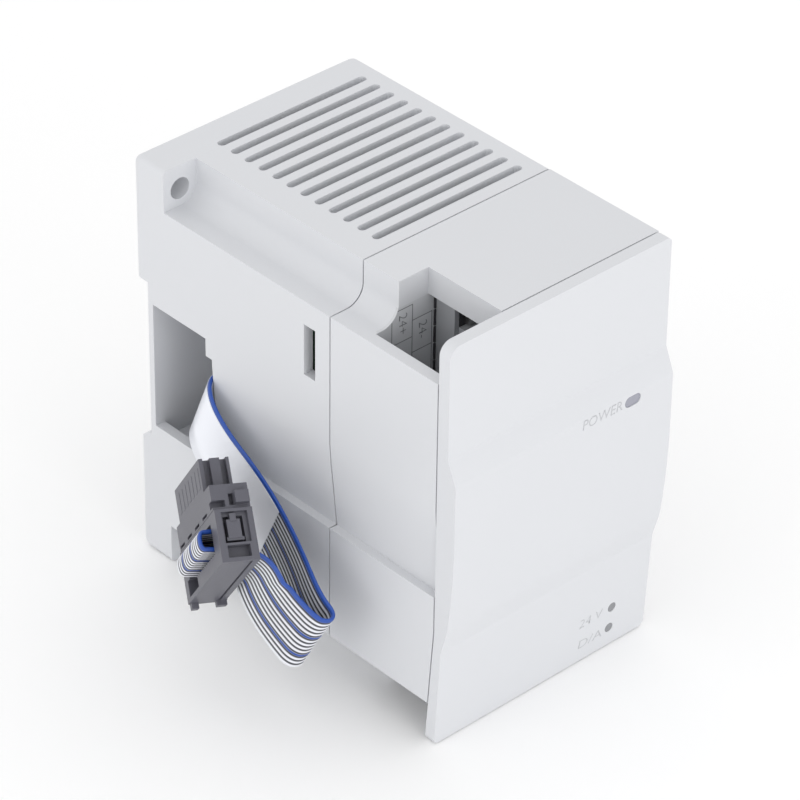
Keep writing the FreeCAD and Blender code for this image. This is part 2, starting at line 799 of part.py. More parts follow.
def make_components():
    """Components on the boards: converters, isolators, processor, power parts."""
    first = FIRST_BOARD + BOARD
    second = SECOND_BOARD + BOARD
    third = THIRD_BOARD + BOARD
    columns = (14.0, 23.0, 32.0, 41.0)
    packages("converter_chips", (7.5, 2.4, 10.3), first, [(side, 40.0) for side in columns])
    packages("isolator_chips", (4.6, 3.4, 6.6), first, [(side, 58.0) for side in columns])
    packages("processor_chip", (14.0, 1.6, 14.0), second, [(27.0, 48.0)])
    packages("bus_chips", (7.5, 2.0, 12.8), second, [(14.0, 36.0), (27.0, 30.0)])
    packages("crystal", (11.0, 3.6, 4.6), second, [(27.0, 63.0)])
    packages("power_transformer", (18.0, 14.0, 16.0), third, [(29.0, 30.0)])
    packages("power_converter", (26.0, 9.0, 14.0), third, [(32.0, 62.0)])
    packages("power_switch_chip", (6.5, 2.3, 9.0), third, [(24.0, 46.0)])
    cans = []
    for index, level in enumerate((25.0, 36.0)):
        can = rod(f"can_{index}", 4.0, 12.5, (45.5, third, level), "Y")
        cans.append(can)
    keep("capacitors", group("capacitors", cans))
    coil = rod("coil_outer", 5.0, 6.0, (38.0, third, 46.0), "Y")
    core = rod("coil_hole", 1.8, 8.0, (38.0, third - 1, 46.0), "Y")
    keep("power_inductor", cut("power_inductor", coil, [core]))


def make_display():
    """Small board behind the cover with the three status lamps."""
    keep("display_board", box("display_board", (38.0, 50.5), (9.0, 10.2), (3.4, 66.0)))
    lamps = []
    for name, side, level in (("power", *POWER_WINDOW),) + ROUND_WINDOWS:
        dome = rod(f"lamp_{name}", 1.5, 2.4, (side, 6.6, level), "Y")
        rise = (level - 1.7, level + 1.7)
        foot = box(f"lamp_foot_{name}", (side - 1.7, side + 1.7), (8.4, 9.0), rise)
        lamps.append(fuse(f"lamp_solid_{name}", [dome, foot]))
    keep("status_lamps", group("status_lamps", lamps))
    keep("display_link", box("display_link", (43, 46), (10.2, FIRST_BOARD), (30, 42)))


def make_extension_header():
    """Box header in the right side that takes the next module's ribbon connector."""
    second = SECOND_BOARD + BOARD
    body = box("header_block", (45.0, WIDTH - 0.6), (second, second + 8.8), (33.6, 56.4))
    space = box("header_space", (47.0, WIDTH + 1), (second + 1.2, second + 7.6), (35.2, 54.8))
    key = box("header_key", (49.0, WIDTH + 1), (second + 7, second + 9), (43.0, 47.0))
    keep("extension_header", cut("extension_header", body, [space, key]))
    pins = []
    for row in range(2):
        for column in range(7):
            front = second + 3.13 + row * 2.54
            level = 45.0 + (column - 3) * 2.54
            pin = (level - 0.32, level + 0.32)
            name = f"header_pin_{row}_{column}"
            pins.append(box(name, (47.0, 53.2), (front - 0.32, front + 0.32), pin))
    keep("extension_pins", group("extension_pins", pins))


def make_small_parts():
    """Shell screws and the blank rating label."""
    screws = []
    for name, side, level in CASE_SCREW_PLACES:
        head = rod(f"case_head_{name}", 2.6, 2.2, (side, SCREW_SEAT, level), "Y")
        shank = rod(f"case_shank_{name}", 1.2, 13.2, (side, SCREW_SEAT - 13, level), "Y")
        slot = (level - 0.35, level + 0.35)
        bar = box(f"case_slot_{name}", (side - 1.7, side + 1.7), (41.2, 43), slot)
        slot = (side - 0.35, side + 0.35)
        cross = box(f"case_cross_{name}", slot, (41.2, 43), (level - 1.7, level + 1.7))
        solid = fuse(f"case_screw_solid_{name}", [head, shank])
        screws.append(cut(f"case_screw_{name}", solid, [bar, cross]))
    keep("case_screws", group("case_screws", screws))
    label = box("rating_label", (WIDTH - 0.25, WIDTH - 0.05), LABEL_DEPTHS, LABEL_HEIGHTS)
    keep("rating_label", label)


# ---------------------------------------------------------------- ribbon and connector

PLUG_LENGTH = Vector(0.1893, 0.5902, -0.7848)
PLUG_HEIGHT = Vector(-0.3909, -0.6878, -0.6116)
PLUG_CORNER = (-22.43, 37.9, 45.72)
PLUG_SIZE = (7.2, 10.1, 28.0)
RIBBON_FAR = Vector(0.06, 0.45, -0.89).normalize()
RIBBON_ALONG = Vector(0, -0.892, -0.451)
EXIT_MIDDLE = (-0.1, 67.4, 41.4)
RIBBON_ROUTE = [
    (-13.0, -2.7), (-4.9, -2.5), (0.0, -1.7), (2.9, 6.3), (3.1, 21.8), (5.7, 34.9),
    (9.5, 45.3), (9.8, 50.5), (13.3, 49.6), (13.8, 44.1), (13.6, 38.7),
]
PLUG_ROUTE = [
    (9.4, 7.5), (4.0, 6.3), (-0.3, 5.8), (-2.0, 5.7), (-2.0, 2.5), (-0.3, 2.45), (6.9, 2.4),
]


def bend_radius(before, corner, after):
    """Largest tidy arc between two runs: 0.45 of the shorter run over tan(half turn)."""
    first = corner - before
    second = after - corner
    half = first.getAngle(second) / 2
    return 0.45 * min(first.Length, second.Length) / math.tan(half)


def strip_side(points, radii, offset):
    """Edges of one face of the ribbon: straight runs joined by tangent arcs."""
    edges = []
    last = None
    total = len(points)
    for index, here in enumerate(points):
        if index in (0, total - 1):
            run = points[1] - points[0] if index == 0 else points[-1] - points[-2]
            side = Vector(-run.y, run.x, 0).normalize()
            spot = here + side * offset
            if last is not None:
                edges.append(Part.LineSegment(last, spot).toShape())
            last = spot
            continue
        first = (here - points[index - 1]).normalize()
        second = (points[index + 1] - here).normalize()
        half = first.getAngle(second) / 2
        reach = radii[index] * math.tan(half)
        turn = 1 if first.cross(second).z > 0 else -1
        start = here - first * reach
        end = here + second * reach
        centre = start + Vector(-first.y, first.x, 0) * radii[index] * turn
        spokes = [(start - centre), (end - centre)]
        radius = radii[index] - offset * turn
        begin = centre + spokes[0].normalize() * radius
        finish = centre + spokes[1].normalize() * radius
        middle = centre + (spokes[0] + spokes[1]).normalize() * radius
        edges.append(Part.LineSegment(last, begin).toShape())
        edges.append(Part.Arc(begin, middle, finish).toShape())
        last = finish
    return edges


def exit_middle():
    """Middle of the ribbon where it passes the window in the case's side."""
    left, front, height = EXIT_MIDDLE
    return Vector(across(left).value, into(front).value, height)


def plug_route_point(thick, high):
    """Place of a point of the plug's middle section in the ribbon's own plane."""
    local = FreeCAD.Placement(Vector(thick, high, PLUG_SIZE[2] / 2), Rotation())
    place = plug_placement().multiply(local).Base - exit_middle()
    outward = RIBBON_FAR.cross(RIBBON_ALONG)
    return Vector(place.dot(outward), place.dot(RIBBON_ALONG), 0)


def make_ribbon():
    """Flat ribbon: leaves the pocket, runs forward, folds back to its connector."""
    width = DIMENSIONS["conductor_pitch"] * DIMENSIONS["conductor_count"]
    thick = DIMENSIONS["ribbon_thickness"]
    points = [Vector(a, b, 0) for a, b in RIBBON_ROUTE]
    points += [plug_route_point(*place) for place in PLUG_ROUTE]
    radii = {}
    for index in range(1, len(points) - 1):
        radii[index] = bend_radius(*points[index - 1:index + 2])
    print("ribbon radii", [round(value, 1) for value in radii.values()])
    left = strip_side(points, radii, thick / 2)
    right = strip_side(points, radii, -thick / 2)
    first = Part.LineSegment(left[0].firstVertex().Point, right[0].firstVertex().Point)
    last = Part.LineSegment(left[-1].lastVertex().Point, right[-1].lastVertex().Point)
    wire = Part.Wire(Part.__sortEdges__(left + [last.toShape()] + right + [first.toShape()]))
    solid = Part.Face(wire).extrude(Vector(0, 0, width))
    length = solid.Volume / (width * thick)
    print("ribbon length in the route", round(length, 1))
    item = doc.addObject("Part::Feature", "ribbon_cable")
    item.Shape = solid
    outward = RIBBON_FAR.cross(RIBBON_ALONG)
    start = exit_middle() + RIBBON_FAR * (width / 2)
    turn = Rotation(outward, RIBBON_ALONG, RIBBON_FAR * -1, "ZXY")
    item.Placement = FreeCAD.Placement(start, turn)
    keep("ribbon_cable", item)
    header = box("ribbon_header", (12.9, 16.0), (65.2, 74.6), (33.2, 52.0))
    keep("ribbon_header", header)


def plug_placement():
    """Place of the ribbon connector: thickness, height and length axes."""
    corner = Vector(across(PLUG_CORNER[0]).value, into(PLUG_CORNER[1]).value, PLUG_CORNER[2])
    across_plug = PLUG_HEIGHT.cross(PLUG_LENGTH)
    turn = Rotation(across_plug, PLUG_HEIGHT, PLUG_LENGTH, "ZYX")
    return FreeCAD.Placement(corner, turn)


def plug_body(label, low, high):
    """PartDesign box of the connector in its own axes, put in its place."""
    corners = [(low[0], low[1]), (high[0], low[1]), (high[0], high[1]), (low[0], high[1])]
    body = plate_body(label, corners, high[2] - low[2])
    shift = FreeCAD.Placement(Vector(0, 0, low[2]), Rotation())
    body.Placement = plug_placement().multiply(shift)
    return body


def make_connector():
    """Ribbon connector: socket body, flange bar, cover with strain relief, contacts."""
    thick, cover_high, length = PLUG_SIZE
    body = plug_body("connector_body", (0, -11.3, 5.0), (5.8, -4.9, 24.4))
    rows = (1.63, 4.17)
    for index in range(7):
        centre = 9.7 + (index - 3) * 2.54
        for row, side in enumerate(rows):
            low = (side - 0.45, -12, centre - 0.45)
            high = (side + 0.45, -6.0, centre + 0.45)
            carve(body, f"socket_{row}_{index}", low, high)
    keep("connector_body", body)
    flange = plug_body("connector_flange", (0, -4.9, 0.8), (thick, -0.1, length - 0.8))
    keep("connector_flange", flange)
    cover = plug_body("connector_cover", (0, -0.1, 0), (thick, cover_high, length))
    carve(cover, "cover_tunnel", (-1, -0.1, 4.2), (thick + 1, 9.3, length - 4.2))
    carve(cover, "cover_latch_window", (1.3, 0.9, -1), (5.9, 6.3, 1.6))
    keep("connector_cover", cover)
    blades = []
    for index in range(7):
        centre = 14.7 + (index - 3) * 2.54
        for row, side in enumerate(rows):
            blade = doc.addObject("Part::Box", f"blade_{row}_{index}")
            bind(blade, "Length", 0.5)
            bind(blade, "Width", 4.6)
            bind(blade, "Height", 0.5)
            shift = Vector(side - 0.25, -10.6, centre - 0.25)
            local = FreeCAD.Placement(shift, Rotation())
            blade.Placement = plug_placement().multiply(local)
            blades.append(blade)
    keep("connector_contacts", group("connector_contacts", blades))


def write_nodes():
    """Check every object, then write one STEP file for each node."""
    doc.recompute()
    for item in doc.Objects:
        if "Invalid" in item.State or "Error" in item.State:
            raise RuntimeError(f"{item.Name} failed: {item.State}")
    for label, item in NODES.items():
        shape = item.Shape
        if shape.isNull() or not shape.isValid():
            raise RuntimeError(f"{label}: no valid shape")
    os.makedirs("parts", exist_ok=True)
    for label, item in NODES.items():
        item.Shape.exportStep(f"parts/{label}.step")
        bounds = item.Shape.BoundBox
        print(f"{label:24s} solids {len(item.Shape.Solids):3d} volume {item.Shape.Volume:9.1f}"
              f" x {bounds.XMin:.1f} {bounds.XMax:.1f} y {bounds.YMin:.1f} {bounds.YMax:.1f}"
              f" z {bounds.ZMin:.1f} {bounds.ZMax:.1f}")


make_rear_case()
make_front_case()
make_front_cover()
make_lenses()
make_hinge_pins()
make_rail_hook()
make_terminals()
make_boards()
make_components()
make_display()
make_extension_header()
make_small_parts()
make_ribbon()
make_connector()
write_nodes()
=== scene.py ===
"""Looks of a controller extension module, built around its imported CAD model."""

import json
import logging
import math
from dataclasses import dataclass, field
from enum import Enum

import bpy
from mathutils import Matrix, Vector


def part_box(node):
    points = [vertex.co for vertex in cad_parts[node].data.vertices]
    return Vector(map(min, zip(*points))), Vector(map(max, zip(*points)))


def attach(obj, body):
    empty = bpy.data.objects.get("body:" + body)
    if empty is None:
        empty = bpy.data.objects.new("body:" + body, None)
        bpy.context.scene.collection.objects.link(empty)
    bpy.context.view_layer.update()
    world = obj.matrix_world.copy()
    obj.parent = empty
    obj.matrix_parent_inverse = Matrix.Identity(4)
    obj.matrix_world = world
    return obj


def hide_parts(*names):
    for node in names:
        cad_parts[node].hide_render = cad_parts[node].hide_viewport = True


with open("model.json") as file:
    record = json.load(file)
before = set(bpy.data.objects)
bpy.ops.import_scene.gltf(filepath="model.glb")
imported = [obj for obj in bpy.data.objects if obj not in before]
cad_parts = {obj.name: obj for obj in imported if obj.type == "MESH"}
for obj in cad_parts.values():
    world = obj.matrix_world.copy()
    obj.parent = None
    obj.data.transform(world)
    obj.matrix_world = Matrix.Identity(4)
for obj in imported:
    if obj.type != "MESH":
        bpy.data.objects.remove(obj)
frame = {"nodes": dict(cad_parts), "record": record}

log = logging.getLogger("module")
MM = 0.001


# ---------------------------------------------------------------- modelling


def deselect() -> None:
    """Leave edit mode and deselect every object."""
    if bpy.context.mode != "OBJECT":
        bpy.ops.object.mode_set(mode="OBJECT")
    bpy.ops.object.select_all(action="DESELECT")


def activate(piece: bpy.types.Object) -> None:
    """Make one object the only selected and the active one."""
    deselect()
    piece.select_set(True)
    bpy.context.view_layer.objects.active = piece


def freeze(piece: bpy.types.Object) -> None:
    """Put a piece's place, turn and scale into its mesh."""
    activate(piece)
    bpy.ops.object.transform_apply(location=True, rotation=True, scale=True)


def block(name: str, low: tuple, high: tuple) -> bpy.types.Object:
    """Add a box between two corners.

    Args:
        name: the new piece's name.
        low: lowest corner, in millimetres.
        high: highest corner, in millimetres.

    Returns:
        The new piece, with its place in its mesh.
    """
    deselect()
    middle = [(a + b) / 2 * MM for a, b in zip(low, high)]
    bpy.ops.mesh.primitive_cube_add(size=1, location=middle)
    piece = bpy.context.active_object
    piece.name = name
    piece.scale = [(b - a) * MM for a, b in zip(low, high)]
    freeze(piece)
    return piece


def apply_modifier(piece: bpy.types.Object, kind: str, **settings: object) -> None:
    """Add one modifier with its settings and apply it.

    Args:
        piece: the piece it changes.
        kind: the modifier's type.
        settings: values of the modifier's properties.
    """
    activate(piece)
    modifier = piece.modifiers.new(kind.title(), kind)
    for key, value in settings.items():
        setattr(modifier, key, value)
    bpy.ops.object.modifier_apply(modifier=modifier.name)


def letters(text: str, size: float, offset: float, shear: float, detail: int) -> bpy.types.Object:
    """Add flat lettering as a mesh, lying at the origin.

    Args:
        text: the word or sign.
        size: the font's size, in metres.
        offset: how far the strokes are widened, in metres.
        shear: slant of the letters.
        detail: number of steps in each curve of an outline.

    Returns:
        The lettering.
    """
    deselect()
    bpy.ops.object.text_add()
    piece = bpy.context.active_object
    piece.data.body = text
    piece.data.size = size
    piece.data.offset = offset
    piece.data.shear = shear
    piece.data.resolution_u = detail
    bpy.ops.object.convert(target="MESH")
    return piece


def carve(piece: bpy.types.Object, cutter: bpy.types.Object) -> None:
    """Take a cutter's volume away from a piece and delete the cutter."""
    apply_modifier(piece, "BOOLEAN", operation="DIFFERENCE", solver="EXACT", object=cutter)
    bpy.data.objects.remove(cutter)


def weld(piece: bpy.types.Object, other: bpy.types.Object) -> None:
    """Join another closed shape to a piece as one skin and delete the other."""
    apply_modifier(piece, "BOOLEAN", operation="UNION", solver="EXACT", object=other)
    bpy.data.objects.remove(other)


def merge(parts: list, name: str) -> bpy.types.Object:
    """Join several pieces into one, without changing their meshes.

    Args:
        parts: the pieces; the first one stays.
        name: the joined piece's name.

    Returns:
        The joined piece.
    """
    activate(parts[0])
    for part in parts:
        part.select_set(True)
    bpy.ops.object.join()
    whole = bpy.context.active_object
    whole.name = name
    return whole


def soften(piece: bpy.types.Object, width: float, segments: int = 2, angle: float = 35) -> None:
    """Round a piece's sharp edges and smooth its shading.

    Args:
        piece: the piece to finish.
        width: width of the rounding, in millimetres.
        segments: number of faces across the rounding.
        angle: edges sharper than this many degrees are rounded.
    """
    apply_modifier(
        piece, "BEVEL", width=width * MM, segments=segments, limit_method="ANGLE",
        angle_limit=math.radians(angle), use_clamp_overlap=True, harden_normals=False)
    activate(piece)
    bpy.ops.object.shade_smooth_by_angle(angle=math.radians(30))
    apply_modifier(piece, "WEIGHTED_NORMAL", keep_sharp=True)


def tidy_mesh(piece: bpy.types.Object) -> None:
    """Merge doubles and join the flat triangles of a piece into whole faces."""
    activate(piece)
    bpy.ops.object.mode_set(mode="EDIT")
    bpy.ops.mesh.select_all(action="SELECT")
    bpy.ops.mesh.remove_doubles(threshold=0.002 * MM)
    bpy.ops.mesh.dissolve_limited(angle_limit=math.radians(0.5))
    bpy.ops.object.mode_set(mode="OBJECT")


def rounded_copy(node: str, width: float, segments: int = 2) -> bpy.types.Object:
    """Copy a CAD node with small roundings on its sharp edges, and let it stand for the node.

    Args:
        node: the node's name.
        width: width of the rounding, in millimetres.
        segments: number of faces across the rounding.

    Returns:
        The new piece, riding on the node's body.
    """
    source = frame["nodes"][node]
    piece = bpy.data.objects.new(f"{node}_moulding", source.data.copy())
    piece.data.materials.clear()
    bpy.context.scene.collection.objects.link(piece)
    tidy_mesh(piece)
    soften(piece, width, segments)
    bodies = frame["record"]["behaviour"]["bodies"]
    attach(piece, next(body for body, nodes in bodies.items() if node in nodes))
    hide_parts(node)
    return piece


def dress(piece: bpy.types.Object, material: bpy.types.Material) -> None:
    """Give a new piece its one material."""
    piece.data.materials.clear()
    piece.data.materials.append(material)


# ---------------------------------------------------------------- shader groups


def new_group(name: str, inputs: dict, outputs: dict) -> bpy.types.NodeTree:
    """Start a shader node group with float sockets.

    Args:
        name: the group's name.
        inputs: socket names and their first values.
        outputs: socket names and their socket types.

    Returns:
        The empty group.
    """
    group = bpy.data.node_groups.new(name, "ShaderNodeTree")
    for label, value in inputs.items():
        kind = "NodeSocketVector" if label == "Vector" else "NodeSocketFloat"
        socket = group.interface.new_socket(label, in_out="INPUT", socket_type=kind)
        if value is not None:
            socket.default_value = value
    for label, kind in outputs.items():
        group.interface.new_socket(label, in_out="OUTPUT", socket_type=kind)
    return group


class Wiring:
    """Short way to add and join nodes in one tree."""

    def __init__(self, tree: bpy.types.NodeTree) -> None:
        """Keep the tree that the nodes go into."""
        self.tree = tree

    def add(self, kind: str, **values: object) -> bpy.types.Node:
        """Add a node.

        Args:
            kind: the node's type, without its ShaderNode prefix.
            values: node properties, or socket values where a name starts with a capital.

        Returns:
            The new node.
        """
        node = self.tree.nodes.new("ShaderNode" + kind)
        for key, value in values.items():
            if key[0].isupper():
                node.inputs[key.replace("_", " ")].default_value = value
            else:
                setattr(node, key, value)
        return node

    def join(self, source: bpy.types.NodeSocket, target: bpy.types.NodeSocket) -> None:
        """Link an output to an input."""
        self.tree.links.new(source, target)

    def math(self, operation: str, first: object, second: object = 0.0) -> bpy.types.NodeSocket:
        """Add a Math node.

        Args:
            operation: the operation's name.
            first: a socket or a number.
            second: a socket or a number.

        Returns:
            The node's output.
        """
        node = self.add("Math", operation=operation)
        for index, value in enumerate((first, second)):
            if isinstance(value, (int, float)):
                node.inputs[index].default_value = value
            else:
                self.join(value, node.inputs[index])
        return node.outputs[0]

    def mix(self, mask: object, first: object, second: object) -> bpy.types.NodeSocket:
        """Mix two colours.

        Args:
            mask: a socket or a number between the first and the second colour.
            first: a socket or a colour of three numbers.
            second: a socket or a colour of three numbers.

        Returns:
            The mixed colour's socket.
        """
        node = self.add("Mix", data_type="RGBA")
        for index, value in ((0, mask), (6, first), (7, second)):
            if isinstance(value, bpy.types.NodeSocket):
                self.join(value, node.inputs[index])
            elif isinstance(value, (int, float)):
                node.inputs[index].default_value = value
            else:
                node.inputs[index].default_value = (*value, 1.0)
        return node.outputs[2]


def moulded_grain() -> bpy.types.NodeTree:
    """Fine spark-eroded grain of a moulded surface, with faint broad colour drift.

    Returns:
        The group, with Shade (colour multiplier), Rough and Height outputs.
    """
    if "moulded grain" in bpy.data.node_groups:
        return bpy.data.node_groups["moulded grain"]
    group = new_group(
        "moulded grain",
        {"Vector": None, "Fineness": 4000.0, "Drift": 0.03, "Roughness": 0.45},
        {"Shade": "NodeSocketColor", "Rough": "NodeSocketFloat", "Height": "NodeSocketFloat"})
    wire = Wiring(group)
    entry = group.nodes.new("NodeGroupInput")
    out = group.nodes.new("NodeGroupOutput")
    grain = wire.add("TexNoise", Detail=3.0, Roughness=0.6)
    broad = wire.add("TexNoise", Scale=45.0, Detail=2.0)
    wire.join(entry.outputs["Vector"], grain.inputs["Vector"])
    wire.join(entry.outputs["Fineness"], grain.inputs["Scale"])
    wire.join(entry.outputs["Vector"], broad.inputs["Vector"])
    centred = wire.math("SUBTRACT", broad.outputs["Fac"], 0.5)
    drift = wire.math("MULTIPLY", centred, entry.outputs["Drift"])
    level = wire.math("ADD", drift, 1.0)
    shade = wire.add("CombineColor")
    for index in range(3):
        wire.join(level, shade.inputs[index])
    wire.join(shade.outputs[0], out.inputs["Shade"])
    spread = wire.math("MULTIPLY", wire.math("SUBTRACT", grain.outputs["Fac"], 0.5), 0.15)
    wire.join(wire.math("ADD", entry.outputs["Roughness"], spread), out.inputs["Rough"])
    wire.join(grain.outputs["Fac"], out.inputs["Height"])
    return group


# ---------------------------------------------------------------- finishes


@dataclass(frozen=True)
class Finish:
    """One surface finish made of a base colour, a grain and a gloss."""

    name: str
    colour: tuple
    roughness: float = 0.45
    metallic: float = 0.0
    fineness: float = 4000.0
    drift: float = 0.04
    relief: float = 0.02
    coat: float = 0.0

    def build(self) -> bpy.types.Material:
        """Make the finish's material once and return it."""
        if self.name in bpy.data.materials:
            return bpy.data.materials[self.name]
        material = bpy.data.materials.new(self.name)
        material.use_nodes = True
        wire = Wiring(material.node_tree)
        shader = material.node_tree.nodes["Principled BSDF"]
        shader.inputs["Metallic"].default_value = self.metallic
        shader.inputs["Coat Weight"].default_value = self.coat
        place = wire.add("TexCoord").outputs["Object"]
        grain = wire.add("Group", node_tree=moulded_grain())
        grain.inputs["Fineness"].default_value = self.fineness
        grain.inputs["Drift"].default_value = self.drift
        grain.inputs["Roughness"].default_value = self.roughness
        wire.join(place, grain.inputs["Vector"])
        tint = wire.add("Mix", data_type="RGBA", blend_type="MULTIPLY")
        tint.inputs[0].default_value = 1.0
        wire.join(self.base_colour(wire, place), tint.inputs[6])
        wire.join(grain.outputs["Shade"], tint.inputs[7])
        wire.join(tint.outputs[2], shader.inputs["Base Color"])
        wire.join(grain.outputs["Rough"], shader.inputs["Roughness"])
        bump = wire.add("Bump", Strength=1.0, Distance=self.relief * MM)
        wire.join(self.height(wire, place, grain.outputs["Height"]), bump.inputs["Height"])
        wire.join(bump.outputs["Normal"], shader.inputs["Normal"])
        return material

    def base_colour(self, wire: Wiring, place: bpy.types.NodeSocket) -> bpy.types.NodeSocket:
        """Colour before the grain's drift: here one plain colour."""
        return wire.mix(0.0, self.colour, self.colour)

    def height(
        self, wire: Wiring, place: bpy.types.NodeSocket, grain: bpy.types.NodeSocket,
    ) -> bpy.types.NodeSocket:
        """Relief that the light catches: here the grain alone."""
        return grain


@dataclass(frozen=True)
class BoardFinish(Finish):
    """Green solder mask over fine copper tracks."""

    track: tuple = (0.06, 0.26, 0.11)

    def base_colour(self, wire: Wiring, place: bpy.types.NodeSocket) -> bpy.types.NodeSocket:
        """Mask colour with straight, slightly lighter tracks."""
        bricks = wire.add(
            "TexBrick", Scale=90.0, Mortar_Size=0.06, Color1=(*self.colour, 1),
            Color2=(*self.colour, 1), Mortar=(*self.track, 1))
        wire.join(place, bricks.inputs["Vector"])
        return bricks.outputs["Color"]


@dataclass(frozen=True)
class BrushedFinish(Finish):
    """Metal with fine lines that run one way."""

    stretch: tuple = (1.0, 1.0, 40.0)

    def height(
        self, wire: Wiring, place: bpy.types.NodeSocket, grain: bpy.types.NodeSocket,
    ) -> bpy.types.NodeSocket:
        """Relief of long thin scratches."""
        mapping = wire.add("Mapping", Scale=self.stretch)
        lines = wire.add("TexNoise", Scale=300.0, Detail=4.0)
        wire.join(place, mapping.inputs["Vector"])
        wire.join(mapping.outputs["Vector"], lines.inputs["Vector"])
        return lines.outputs["Fac"]


@dataclass(frozen=True)
class RibbonFinish(Finish):
    """Ridged insulation: white conductors, three blue ones, and painted shade in the valleys between
    them.
    """

    blue: tuple = (0.018, 0.075, 0.37)
    # Near-black colour painted into the valleys as shade.
    painted_valley_shade: tuple = (0.05, 0.05, 0.062)
    blue_lines: tuple = (5, 10)
    blue_half: float = 0.24

    def base_colour(self, wire: Wiring, place: bpy.types.NodeSocket) -> bpy.types.NodeSocket:
        """Stripes read from the ribbon's own UV map, one unit for each conductor, with painted shade at
        each conductor's sides.
        """
        split = wire.add("SeparateXYZ")
        wire.join(wire.add("UVMap", uv_map="conductors").outputs["UV"], split.inputs[0])
        position = split.outputs["X"]
        number = wire.math("FLOOR", position)
        from_middle = wire.math("ABSOLUTE", wire.math("SUBTRACT", wire.math("FRACT", position), 0.5))
        blue_mask = wire.math("LESS_THAN", position, 1.0)
        narrow = wire.math("LESS_THAN", from_middle, self.blue_half)
        for line in self.blue_lines:
            match = wire.math("COMPARE", number, float(line))
            match.node.inputs[2].default_value = 0.4
            blue_mask = wire.math("ADD", wire.math("MULTIPLY", match, narrow), blue_mask)
        coat = wire.mix(blue_mask, self.colour, self.blue)
        # Painted shade: each conductor's sides fade to the near-black valley colour, except at the
        # ribbon's two outer edges.
        edge = wire.add("MapRange", interpolation_type="SMOOTHSTEP")
        edge.inputs["From Min"].default_value = 0.18
        edge.inputs["From Max"].default_value = 0.36
        wire.join(from_middle, edge.inputs["Value"])
        inner = wire.math("MULTIPLY", wire.math("GREATER_THAN", position, 0.5),
                          wire.math("LESS_THAN", position, 13.5))
        return wire.mix(wire.math("MULTIPLY", edge.outputs[0], inner), coat, self.painted_valley_shade)


class Shade(Enum):
    """Finishes of the module's pieces."""

    CASE = Finish("case plastic", (0.655, 0.665, 0.69), 0.42, fineness=5200, drift=0.012, relief=0.008)
    MARK = Finish("printed marks", (0.52, 0.53, 0.55), 0.5, drift=0.02)
    CELL = Finish("cell lines", (0.20, 0.21, 0.22), 0.5, drift=0.02)
    LENS = Finish("lens plastic", (0.30, 0.305, 0.36), 0.18, drift=0.02, coat=0.5)
    ROUND_LENS = Finish("round lens plastic", (0.24, 0.245, 0.26), 0.2, drift=0.02, coat=0.4)
    STEEL = BrushedFinish("plated steel", (0.56, 0.56, 0.55), 0.32, metallic=1.0, relief=0.01)
    # Colour of the real dark connectors and hook, also used as painted shadow in the bay.
    DARK = Finish("dark plastic and painted shadow", (0.035, 0.035, 0.04), 0.5, fineness=3500, relief=0.02)
    TERMINAL = Finish("terminal plastic", (0.42, 0.43, 0.45), 0.42, fineness=3000, relief=0.02)
    TIN = BrushedFinish("tin plate", (0.66, 0.66, 0.64), 0.3, metallic=1.0, relief=0.01)
    FILM = Finish("label film", (0.60, 0.61, 0.63), 0.35, drift=0.02, coat=0.1)
    BOARD = BoardFinish("solder mask", (0.02, 0.14, 0.055), 0.35, drift=0.1, relief=0.05)
    CHIP = Finish("chip plastic", (0.022, 0.022, 0.024), 0.55, fineness=6000, relief=0.03)
    FERRITE = Finish("ferrite", (0.07, 0.07, 0.072), 0.7, fineness=2500, drift=0.2, relief=0.06)
    GOLD = Finish("gold plate", (0.83, 0.62, 0.25), 0.25, metallic=1.0, drift=0.05)
    PLUG = Finish("plug plastic", (0.10, 0.10, 0.122), 0.42, fineness=3800, drift=0.1, relief=0.03)
    RIBBON = RibbonFinish("ribbon insulation", (0.80, 0.81, 0.86), 0.34, drift=0.03, relief=0.004)
    WRAP = Finish("wrapping film", (0.88, 0.90, 0.96), 0.32, drift=0.05, relief=0.01, coat=0.25)
    FLOOR = Finish("floor", (0.98, 0.98, 0.98), 0.7, fineness=400, drift=0.0, relief=0.0)

    def material(self) -> bpy.types.Material:
        """Build the finish's material."""
        return self.value.build()


# ---------------------------------------------------------------- frame places

CASE_DEPTH = 87.0


def spot(left: float, front: float, height: float) -> Vector:
    """Point of the row frame from the case's own distances.

    Args:
        left: distance from the case's left side, in millimetres.
        front: distance behind the flat front plane, in millimetres; the cover's band is before it.
        height: height above the base, in millimetres.

    Returns:
        The point, in metres.
    """
    low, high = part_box("rear_case")
    return Vector((low[0] + left * MM, high[1] + (front - CASE_DEPTH) * MM, low[2] + height * MM))


# ---------------------------------------------------------------- case


